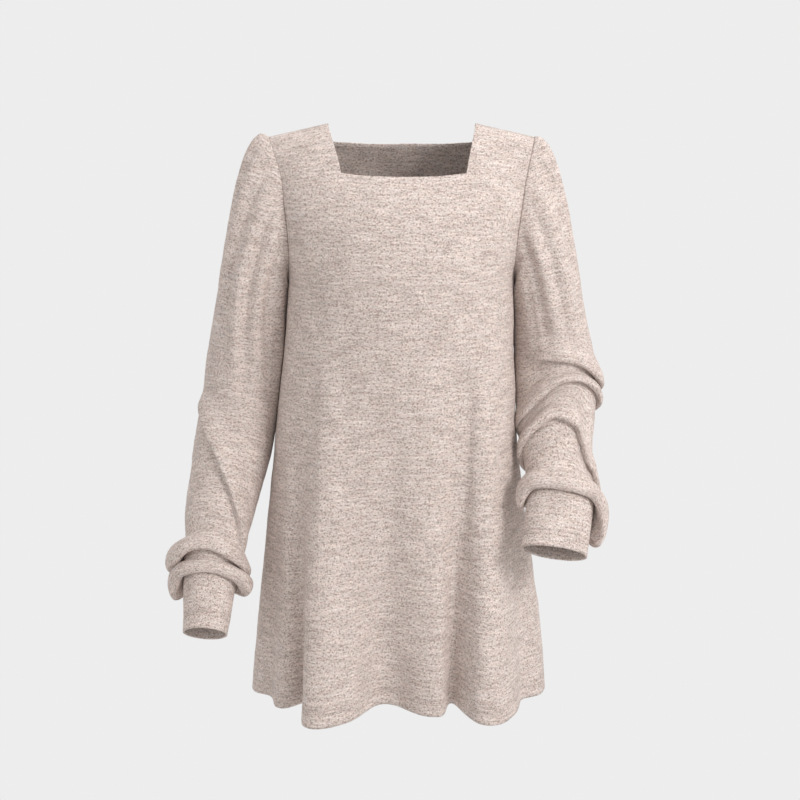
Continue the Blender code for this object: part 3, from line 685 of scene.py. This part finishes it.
def shell(name, points, inner, outward, lay, cells=None, closed=False, hem=None):
    """A thin wall of cloth between two grids of points, its outer and its inner side. lay holds the
    cloth's own coordinates, across and along, at each point, with one column more than the grid where it
    is closed. cells says which of the grid's cells are cloth, and hem is the distance from the hem, for
    its line of stitches."""
    rows, columns = points.shape[:2]
    wide = columns if closed else columns - 1
    cells = np.ones((rows - 1, wide), bool) if cells is None else cells
    across, along = lay

    row, column = np.nonzero(cells)
    corner_rows = np.stack([row, row, row + 1, row + 1], axis=1)
    corner_columns = np.stack([column, column + 1, column + 1, column], axis=1)
    if outward < 0:
        corner_rows, corner_columns = corner_rows[:, ::-1], corner_columns[:, ::-1]
    count = rows * columns
    outer_faces = corner_rows * columns + corner_columns % columns
    inner_faces = outer_faces[:, ::-1] + count
    uv_rows = [corner_rows, corner_rows[:, ::-1]]
    uv_columns = [corner_columns, corner_columns[:, ::-1]]

    padded = np.pad(cells, 1)
    if closed:
        padded[:, 0], padded[:, -1] = padded[:, -2], padded[:, 1]
    rim_rows, rim_columns = [], []
    sides = (
        ((0, 0), (0, 1), (-1, 0)),
        ((0, 1), (1, 1), (0, 1)),
        ((1, 1), (1, 0), (1, 0)),
        ((1, 0), (0, 0), (0, -1)),
    )
    for start, end, beside in sides:
        bare = ~padded[1 + beside[0] : rows + beside[0], 1 + beside[1] : wide + 1 + beside[1]]
        edge_row, edge_column = np.nonzero(cells & bare)
        first = (edge_row + start[0], edge_column + start[1])
        second = (edge_row + end[0], edge_column + end[1])
        if outward < 0:
            first, second = second, first
        rim_rows.append(np.stack([second[0], first[0], first[0], second[0]], axis=1))
        rim_columns.append(np.stack([second[1], first[1], first[1], second[1]], axis=1))
    rim_rows, rim_columns = np.concatenate(rim_rows), np.concatenate(rim_columns)
    rim_faces = rim_rows * columns + rim_columns % columns + np.array([0, 0, count, count])

    faces = np.concatenate([outer_faces, inner_faces, rim_faces])
    uv_rows = np.concatenate([*uv_rows, rim_rows]).ravel()
    uv_columns = np.concatenate([*uv_columns, rim_columns]).ravel()
    used, faces = np.unique(faces, return_inverse=True)
    vertices = np.concatenate([points.reshape(-1, 3), inner.reshape(-1, 3)])[used] * MM
    mesh = bpy.data.meshes.new(name)
    mesh.from_pydata(vertices.tolist(), [], faces.reshape(-1, 4).tolist())
    cloth_uv = mesh.uv_layers.new(name="cloth")
    laid = np.stack([across[uv_rows, uv_columns], along[uv_rows, uv_columns]], axis=-1) * MM
    cloth_uv.data.foreach_set("uv", laid.ravel().astype(np.float32))
    distance = np.full((rows, columns), FAR_FROM_SEAM) if hem is None else hem
    spread = np.concatenate([distance.ravel(), distance.ravel()])[used]
    stored = mesh.attributes.new("hem_distance", "FLOAT", "POINT")
    stored.data.foreach_set("value", spread.astype(np.float32))
    mesh.shade_smooth()
    made = bpy.data.objects.new(name, mesh)
    bpy.context.scene.collection.objects.link(made)
    return made


class Sleeve:
    """A sleeve's surface: its cap from the armhole to the upper arm, then a tube down to the cuff."""

    def __init__(self, arm):
        self.arm = arm
        centres = np.array([(ring.x, ring.y, ring.z) for ring in arm.rings], float)
        down = lengths_along(centres)
        self.length = float(down[-1])
        self.centre = smooth(down, centres)
        self.half = smooth(down, np.array([ring.half for ring in arm.rings], float))
        self.depth = smooth(down, np.array([ring.depth for ring in arm.rings], float))

    def tube(self, turn, down):
        """A point of the plain tube, the direction out of it and the arm's direction."""
        along = unit(self.centre(down + AXIS_STEP) - self.centre(down - AXIS_STEP))
        across, front = tube_axes(along)
        angle = np.radians(turn)
        sideways = (-self.arm.side * np.cos(angle))[..., None] * across
        forward = np.sin(angle)[..., None] * front
        half, depth = self.half(down)[..., None], self.depth(down)[..., None]
        out = unit(sideways * depth + forward * half)
        return self.centre(down) + sideways * half + forward * depth, out, along

    def lobed(self, roll_number, name, turn):
        """What the lobes add to a roll's crest, stand or hang at each turn."""
        total = np.zeros(turn.shape)
        for lobe in self.arm.lobes:
            if lobe.roll == roll_number:
                total = total + getattr(lobe, name) * bump(turned(turn, lobe.turn) / lobe.spread)
        return total

    def crest(self, roll_number, turn):
        """How far down the arm a roll's crest lies at each turn."""
        roll = self.arm.rolls[roll_number]
        return self.length - around(roll[:4], turn) + self.lobed(roll_number, "drop", turn)

    def seam(self, turn):
        """How far down the arm the cuff's seam lies at each turn."""
        return self.length + around(self.arm.seam_drop, turn)

    def knots(self, turn):
        """The distances down the arm at which the rolls start, crest and end, at each turn."""
        crests = [self.crest(number, turn) for number in range(len(self.arm.rolls))]
        bounds = [np.zeros(turn.shape), *crests, self.seam(turn)]
        made = [bounds[0]]
        for number, roll in enumerate(self.arm.rolls):
            over, crest, under = bounds[number : number + 3]
            last = number == len(self.arm.rolls) - 1
            above = np.minimum(roll.above, MOST_ABOVE * (crest - over))
            below = under - crest if last else np.minimum(roll.below, MOST_BELOW * (under - crest))
            made += [crest - above, crest, crest + below]
        return np.stack([*made, bounds[-1]])

    def down_of(self, turn, place):
        """The distance down the arm of a place from 1 on, and how far the rolls push the cloth out and
        down there. Each stretch between two knots is one unit of place."""
        knots = self.knots(turn)
        stretch = np.clip(np.floor(place - 1), 0, len(knots) - 2).astype(int)
        share = place - 1 - stretch
        start = np.take_along_axis(knots, stretch[None], 0)[0]
        end = np.take_along_axis(knots, stretch[None] + 1, 0)[0]
        out = np.zeros(turn.shape)
        over = np.zeros(turn.shape)
        for number, roll in enumerate(self.arm.rolls):
            height = np.maximum(around(roll[4:8], turn) + self.lobed(number, "stand", turn), 0)
            hang = np.maximum(roll.lean * height + self.lobed(number, "hang", turn), 0)
            rising = stretch == 3 * number + 1
            falling = stretch == 3 * number + 2
            bend = np.where(rising, np.clip(share, 0, 1) ** roll.rise / 2, 0)
            bend = np.where(falling, (1 + share) / 2, bend)
            swell = np.sin(math.pi * bend)
            swell = np.where(falling, np.clip(swell, 0, 1) ** roll.fall, swell)
            out = out + height * swell
            over = over + hang * np.sin(math.pi * bend**LOWEST_BEND)
        return start + share * (end - start), out, over

    def gathered(self, turn, run):
        """How far the gathers and wrinkles push the cloth out, and the gathers tip it round the sleeve, at
        a distance below the armhole."""
        total = np.zeros(run.shape)
        tipped = np.zeros(run.shape)
        for gather in self.arm.gathers:
            share = np.clip((run - gather.top) / (gather.foot - gather.top), 0, 1)
            centre = gather.top_turn + (gather.foot_turn - gather.top_turn) * share
            off = turned(turn, centre)
            dying = ease((share - gather.hold) / (1 - gather.hold))
            strength = ease(share / GATHER_START) * (1 - dying)
            width = np.where(off < 0, gather.before, gather.after)
            swell = strength * bump(off / width)
            total = total + gather.rise * swell
            tipped = tipped + gather.lean * swell
        for wrinkle in self.arm.wrinkles:
            off = turned(turn, wrinkle.turn) / wrinkle.spread
            level = run - wrinkle.run - wrinkle.slant * off + wrinkle.arch * off**2
            total = total + wrinkle.rise * bump(off) * bump(level / wrinkle.wide)
        return total, tipped

    def leaving(self, turn):
        """The direction in which the cap leaves the armhole."""
        up = np.clip(-np.cos(np.radians(turn)), 0, 1)
        sideways = self.arm.side * (CAP_SIDEWAYS + (1 - CAP_SIDEWAYS) * up)
        forward = -CAP_FORWARD * np.sin(np.radians(turn))
        return unit(np.stack([sideways, forward, CAP_LIFT * up**CAP_LIFT_POWER - CAP_DROP], axis=-1))

    def __call__(self, turn, place):
        """A point of the sleeve. place runs from 0 at the armhole through 1 at the upper arm, and on by
        the stretches between the knots, to the cuff's seam."""
        turn, place = np.broadcast_arrays(np.asarray(turn, float), np.asarray(place, float))
        down, out_by, over_by = self.down_of(turn, np.maximum(place, 1))
        run = down + CAP_DEPTH * np.clip(place, 0, 1)
        fade = ease((self.seam(turn) - down) / FOLD_FADE)
        gathered, tipped = self.gathered(turn, run)
        start, direction, _ = self.tube(turn + tipped * fade, down + over_by)
        below = start + out_by[..., None] * direction

        leave = self.leaving(turn)
        seam = armhole_point(self.arm.side, turn) + SEAM_GAP * leave
        end, end_out, end_along = self.tube(turn, np.zeros(turn.shape))
        reach = np.linalg.norm(end - seam, axis=-1, keepdims=True)
        share = np.clip(place, 0, 1)[..., None]
        cap = hermite(seam, leave * reach * CAP_FULLNESS, end, end_along * reach, share)
        upward = leave * (1 - share) * np.array([0, 0, 1])
        cap_out = unit(upward + end_out * (share + CAP_LEAST_OUT))
        made = np.where((place > 1)[..., None], below, cap)
        outward = np.where((place > 1)[..., None], direction, cap_out)
        return made + (gathered * fade)[..., None] * outward

    def cuff(self, turn, place):
        """A point of the cuff. place runs from 0 at its seam to 1 at its open end."""
        turn, place = np.broadcast_arrays(np.asarray(turn, float), np.asarray(place, float))
        start, _, start_along = self.tube(turn, self.seam(turn))
        start = start + SEAM_GAP * start_along
        end = np.array([self.arm.cuff_end.x, self.arm.cuff_end.y, self.arm.cuff_end.z], float)
        across, front = tube_axes(unit(end - self.centre(self.length)))
        angle = np.radians(turn)
        sideways = (-self.arm.side * np.cos(angle) * self.arm.cuff_end.half)[..., None] * across
        finish = end + sideways + (np.sin(angle) * self.arm.cuff_end.depth)[..., None] * front
        return start + (finish - start) * place[..., None]


def from_seam(distance):
    """How much of its unevenness the cloth has at a distance from a seam, which holds it in place, and how
    far the seam pulls it in there."""
    held = ease(distance / SEAM_HOLD)
    return held, -SEAM_DIP * held * np.exp(-((distance / SEAM_SOFTNESS) ** 2))


def body_panel(name, face, creases, cut_number):
    """The front or the back, with the neck cut out of it."""
    corner = corner_column(face)
    across = columns_of(face)
    lower = np.linspace(0, 1, LOWER_ROWS + 1)[:-1]
    levels = np.concatenate([lower, armhole_levels(face, ARMHOLE_ROWS, STRAP_ROWS)])
    column_grid, level_grid = np.meshgrid(across, levels)
    points = panel(face, column_grid, level_grid)

    wide = lengths_along(points.transpose(1, 0, 2)).T
    middle = np.array([np.interp(0, across, row) for row in wide])
    side_distance = np.minimum(wide, wide[:, -1:] - wide)
    high = lengths_along(points)
    straps = np.abs(across) >= corner
    along = np.repeat(high[:, straps].mean(axis=1)[:, None], len(across), axis=1)
    shoulder_distance = high[-1:] - high

    rise = crease_depth(creases, points[..., 0], points[..., 2]) + softness(points, BODY_SOFTNESS)
    side_hold, side_dip = from_seam(side_distance)
    shoulder_hold, shoulder_dip = from_seam(np.where(level_grid > 2, shoulder_distance, FAR_FROM_SEAM))
    rise = rise * side_hold * shoulder_hold + side_dip + shoulder_dip
    points = points + rise[..., None] * facet_normals(points, face, False)
    points = to_own_side(points, face)
    inner = to_own_side(points - BODY_WALL * facet_normals(points, face, False), face)

    between = (across[:-1] + across[1:]) / 2
    cells = np.ones((len(levels) - 1, len(across) - 1), bool)
    cells[LOWER_ROWS + ARMHOLE_ROWS :, np.abs(between) < corner] = False
    lay = (wide - middle[:, None] + cut_number * CUT_SPACING, along)
    piece = shell(name, points, inner, face, lay, cells=cells, hem=along - along[0])
    return piece, points


def to_own_side(points, face):
    """Keeps a panel to its own side of the plane through the side and shoulder seams."""
    kept = points.copy()
    kept[..., 1] = -face * np.maximum(-face * points[..., 1], SEAM_GAP / 2)
    return kept


def surface_tree(grids):
    """The outer sides of the front and the back, in the order given, to find the nearest place on them."""
    vertices, faces = [], []
    for grid, face in zip(grids, (1, -1)):
        rows, columns = grid.shape[:2]
        first = np.arange((rows - 1) * columns).reshape(rows - 1, columns)[:, :-1].ravel() + len(vertices)
        quads = np.stack([first, first + 1, first + columns + 1, first + columns], axis=1)
        faces += quads[:, ::face].tolist()
        vertices += grid.reshape(-1, 3).tolist()
    return BVHTree.FromPolygons(vertices, faces)


def rested(points, body, clearance):
    """Moves a sleeve's points that are in the body, or too near, out along its surface's normal."""
    moved = points.copy()
    for place in zip(*np.nonzero(np.abs(points[..., 2] - ARM_REST_Z) < ARM_REST_SPAN)):
        point = Vector(points[place])
        nearest, normal, _, _ = body.find_nearest(point, ARM_REACH)
        if nearest is not None:
            short = clearance[place] - (point - nearest).dot(normal)
            moved[place] += max(short, 0.0) * np.array(normal)
    return moved


def ring_places(sleeve):
    """Where a sleeve's rings lie: evenly spaced on the cloth where it is longest."""
    fine = np.linspace(0, len(sleeve.knots(np.zeros(1))), SLEEVE_SAMPLES)
    turn_grid, place_grid = np.meshgrid(SAMPLED_TURNS, fine)
    line = sleeve(turn_grid, place_grid)
    steps = np.linalg.norm(np.diff(line, axis=0), axis=-1).max(axis=1)
    length = np.concatenate([[0], np.cumsum(steps)])
    return np.interp(np.linspace(0, length[-1], SLEEVE_RINGS + 1), length, fine)


def course_lengths(high, level_row):
    """The cloth's coordinate along the arm. Its courses lie level round the arm at one ring: above it each
    column keeps its own length, and below it only the folds' own cloth sets a column apart."""
    level = high - high[level_row]
    below = level[level_row:]
    aside = below - below.mean(axis=1, keepdims=True)
    beside = COURSE_DRIFT_RINGS // 2
    padded = np.pad(aside, ((beside + 1, beside), (0, 0)), mode="edge")
    total = np.cumsum(padded, axis=0)
    drift = (total[2 * beside + 1 :] - total[: -2 * beside - 1]) / (2 * beside + 1)
    level[level_row:] = below - drift + drift[:1]
    return level


def tube_shell(name, side, surface, places, tube, cut_number, body=None):
    """A closed tube of cloth round the arm, which rests against the body where one is given."""
    turns = np.arange(SLEEVE_COLUMNS) * 360.0 / SLEEVE_COLUMNS
    turn_grid, place_grid = np.meshgrid(turns, places)
    points = surface(turn_grid, place_grid)
    high = lengths_along(points)
    top_hold, top_dip = from_seam(high)
    foot_hold, foot_dip = from_seam(np.where(tube.has_hem, FAR_FROM_SEAM, high[-1:] - high))
    rise = softness(points, tube.softness) * top_hold * foot_hold + top_dip + foot_dip
    points = points + rise[..., None] * facet_normals(points, -side, True)
    if body is not None:
        points = rested(points, body, SEAM_GAP / 2 + ARM_CLEARANCE * ease(high / CLEARANCE_RAMP))
    inner = points - tube.wall * facet_normals(points, -side, True)

    closed_ring = np.concatenate([points, points[:, :1]], axis=1)
    wide = lengths_along(closed_ring.transpose(1, 0, 2)).T
    along = course_lengths(high, int(np.searchsorted(places, 1.0)))
    along = np.concatenate([along, along[:, :1]], axis=1)
    lay = (wide + cut_number * CUT_SPACING, along)
    hem = (high[-1:] - high) if tube.has_hem else None
    return shell(name, points, inner, -side, lay, closed=True, hem=hem)


class Tree:
    """Short calls for building a material's nodes."""

    def __init__(self, material):
        self.tree = material.node_tree

    def node(self, kind, **settings):
        """A new node of a kind, with its settings."""
        made = self.tree.nodes.new(kind)
        for name, value in settings.items():
            setattr(made, name, value)
        return made

    def put(self, value, socket):
        """Links a socket to another node's output, or sets it to a value."""
        if isinstance(value, bpy.types.NodeSocket):
            self.tree.links.new(value, socket)
        else:
            socket.default_value = value

    def maths(self, operation, first, second=0.0, third=0.0):
        """The result of one operation on up to three values."""
        made = self.node("ShaderNodeMath", operation=operation)
        for value, socket in zip((first, second, third), made.inputs):
            self.put(value, socket)
        return made.outputs[0]

    def wave(self, value):
        """A sine wave whose pitch is 1."""
        return self.maths("SINE", self.maths("MULTIPLY", value, 2 * math.pi))

    def added(self, total, value, weight):
        """The total with the weighted value added to it."""
        return self.maths("MULTIPLY_ADD", value, weight, total)

    def scaled(self, place, across, along):
        """The cloth's coordinates in units of across and along, in millimetres."""
        made = self.node("ShaderNodeVectorMath", operation="MULTIPLY")
        self.put(place, made.inputs[0])
        made.inputs[1].default_value = (1 / (across * MM), 1 / (along * MM), 1.0)
        return made.outputs[0]

    def noise(self, place, across, along, detail=2.0, roughness=0.5):
        """A soft noise about 0, with patches about across by along millimetres."""
        made = self.node("ShaderNodeTexNoise", noise_dimensions="2D")
        self.put(self.scaled(place, across, along), made.inputs["Vector"])
        made.inputs["Scale"].default_value = 1.0
        made.inputs["Detail"].default_value = detail
        made.inputs["Roughness"].default_value = roughness
        return self.maths("SUBTRACT", made.outputs[0], 0.5)

    def dots(self, place, across, along, edge):
        """Small round dots strewn over the cloth, one to a patch of across by along millimetres. edge is
        where a dot starts to fade and where it ends, in shares of a patch."""
        made = self.node("ShaderNodeTexVoronoi", voronoi_dimensions="2D", feature="F1")
        self.put(self.scaled(place, across, along), made.inputs["Vector"])
        made.inputs["Scale"].default_value = 1.0
        return self.within(made.outputs["Distance"], edge)

    def step(self, value, low, high):
        """A smooth step from 0 at low to 1 at high."""
        made = self.node("ShaderNodeMapRange", interpolation_type="SMOOTHSTEP")
        self.put(value, made.inputs["Value"])
        made.inputs["From Min"].default_value = low
        made.inputs["From Max"].default_value = high
        return made.outputs["Result"]

    def within(self, distance, edge):
        """1 up to the edge's first distance, and 0 from its second."""
        return self.maths("SUBTRACT", 1.0, self.step(distance, *edge))

    def mix(self, share, first, second):
        """The first colour where the share is 0, and the second where it is 1."""
        made = self.node("ShaderNodeMix", data_type="RGBA")
        for value, socket in ((share, 0), (first, 6), (second, 7)):
            self.put(value, made.inputs[socket])
        return made.outputs[2]


def knit_material():
    """Brushed jersey of heathered oatmeal yarn: streaks along the courses, flecks, stitches and nap, with
    painted shade in the dip above the hem.
    """
    material = bpy.data.materials.new("heathered_knit")
    material.use_nodes = True
    shader = material.node_tree.nodes["Principled BSDF"]
    tree = Tree(material)
    place = tree.node("ShaderNodeUVMap", uv_map="cloth").outputs[0]
    parts = tree.node("ShaderNodeSeparateXYZ")
    tree.put(place, parts.inputs[0])
    across = tree.maths("MULTIPLY", parts.outputs[0], 1 / MM)
    along = tree.maths("MULTIPLY", parts.outputs[1], 1 / MM)

    noises = {name: tree.noise(place, *tone[:4]) for name, tone in TONES.items()}
    hem_rows, hem_dip = hem_stitches(tree, across)
    light = MEAN_TONE
    for name, tone in TONES.items():
        light = tree.added(light, noises[name], tone.weight)
    light = tree.added(light, tree.dots(place, *SPECK_PATCH, SPECK_EDGE), SPECK_TONE)
    light = tree.added(light, hem_rows, HEM_ROW_TONE)
    # painted shade: the yarn is darkened in the dip that the hem's stitches pull
    light = tree.added(light, hem_dip, HEM_DIP_PAINTED_SHADE)
    dark_hue = tree.step(tree.noise(place, *DARK_PATCH), -DARK_BLEND, DARK_BLEND)
    pale_hue = tree.step(tree.noise(place, *PALE_PATCH), -PALE_BLEND, PALE_BLEND)
    dark = tree.mix(dark_hue, ROSE_YARN, BROWN_YARN)
    pale = tree.mix(pale_hue, CREAM_YARN, SHELL_YARN)
    tree.put(tree.mix(light, dark, pale), shader.inputs["Base Color"])

    wander = tree.noise(place, *WANDER_PATCH, detail=1.0)
    course = tree.added(tree.maths("DIVIDE", along, COURSE_PITCH), wander, WANDER)
    ribs = tree.wave(course)
    wale = tree.maths("PINGPONG", tree.maths("DIVIDE", across, WALE_PITCH), 0.5)
    stitch = tree.added(tree.maths("DIVIDE", along, STITCH_PITCH), wale, STITCH_CLIMB)
    loops = tree.wave(stitch)
    height = tree.maths("MULTIPLY", loops, STITCH_RELIEF)
    height = tree.added(height, ribs, COURSE_RELIEF)
    height = tree.added(height, noises["streaks"], STREAK_RELIEF)
    height = tree.added(height, noises["grain"], GRAIN_RELIEF)
    height = tree.added(height, hem_rows, HEM_ROW_RELIEF)
    height = tree.added(height, hem_dip, HEM_DIP_RELIEF)
    relief = tree.node("ShaderNodeBump")
    relief.inputs["Strength"].default_value = RELIEF_STRENGTH
    relief.inputs["Distance"].default_value = RELIEF_HEIGHT * MM
    tree.put(height, relief.inputs["Height"])
    tree.put(relief.outputs[0], shader.inputs["Normal"])

    shader.inputs["Roughness"].default_value = 0.95
    shader.inputs["Specular IOR Level"].default_value = 0.15
    shader.inputs["Sheen Weight"].default_value = 0.12
    shader.inputs["Sheen Roughness"].default_value = 0.45
    shader.inputs["Sheen Tint"].default_value = (1.0, 0.96, 0.93, 1.0)
    return material


def hem_stitches(tree, across):
    """The two rows of stitches that hold a hem up, and the dip that they pull in the cloth."""
    distance = tree.node("ShaderNodeAttribute", attribute_name="hem_distance").outputs["Fac"]
    dash = tree.maths("PINGPONG", tree.maths("DIVIDE", across, HEM_STITCH), 0.5)
    dash = tree.step(dash, *HEM_STITCH_ENDS)
    rows = 0.0
    dip = 0.0
    for line in (HEM_ROW, HEM_ROW + HEM_ROW_GAP):
        off = tree.maths("ABSOLUTE", tree.maths("SUBTRACT", distance, line))
        rows = tree.maths("ADD", tree.within(off, HEM_ROW_EDGE), rows)
        dip = tree.maths("ADD", tree.within(off, HEM_DIP_EDGE), dip)
    return tree.maths("MULTIPLY", rows, dash), dip


def room_light():
    """Even light from all round, and a soft key from the upper front, at the garment's left."""
    scene = bpy.context.scene
    room = bpy.data.worlds.new("room")
    scene.world = room
    room.use_nodes = True
    sky = room.node_tree.nodes["Background"]
    sky.inputs["Color"].default_value = ROOM_COLOUR
    sky.inputs["Strength"].default_value = 1.0
    for lamp in LAMPS:
        light = bpy.data.lights.new(lamp.name, "AREA")
        light.shape = "DISK"
        light.size = lamp.size
        light.energy = lamp.power
        made = bpy.data.objects.new(lamp.name, light)
        scene.collection.objects.link(made)
        made.location = lamp.place
        towards = Vector(LAMPS_AIM) - made.location
        made.rotation_euler = towards.to_track_quat("-Z", "Y").to_euler()


def camera():
    """The camera, in front of the origin and level with it, tilted down to the garment."""
    lens = bpy.data.cameras.new("camera")
    lens.lens = CAMERA_LENS
    lens.sensor_width = CAMERA_SENSOR
    made = bpy.data.objects.new("camera", lens)
    bpy.context.scene.collection.objects.link(made)
    made.location = (0.0, -CAMERA_DISTANCE * MM, 0.0)
    made.rotation_euler = (math.radians(90 - CAMERA_PITCH), 0.0, 0.0)
    bpy.context.scene.camera = made


def dress(piece, node, material, flat, area, held):
    """Hands a shell over to the frame in place of its solid."""
    piece.data.materials.append(material)
    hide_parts(node)
    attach(piece, "root")


def main():
    """Dresses the six solids, lights the room and sets the camera."""
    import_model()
    bpy.context.scene.view_settings.view_transform = "Standard"
    knit = knit_material()
    front, front_grid = body_panel("front_cloth", 1, FRONT_CREASES, 0)
    back, back_grid = body_panel("back_cloth", -1, BACK_CREASES, 1)
    dress(front, "front", knit, *PANEL_CUT, "hung")
    dress(back, "back", knit, *PANEL_CUT, "hung")
    body = surface_tree((front_grid, back_grid))
    cuff_places = np.linspace(0, 1, CUFF_RINGS + 1)
    for number, arm in enumerate(ARMS):
        sleeve = Sleeve(arm)
        places = ring_places(sleeve)
        cloth = tube_shell(f"sleeve_{arm.name}_cloth", arm.side, sleeve, places, SLEEVE, 2 + number, body)
        band = tube_shell(f"cuff_{arm.name}_cloth", arm.side, sleeve.cuff, cuff_places, CUFF, 4 + number)
        dress(cloth, f"sleeve_{arm.name}", knit, *arm.cut, "gathered")
        dress(band, f"cuff_{arm.name}", knit, *CUFF_CUT, "hung")
    room_light()
    camera()


main()
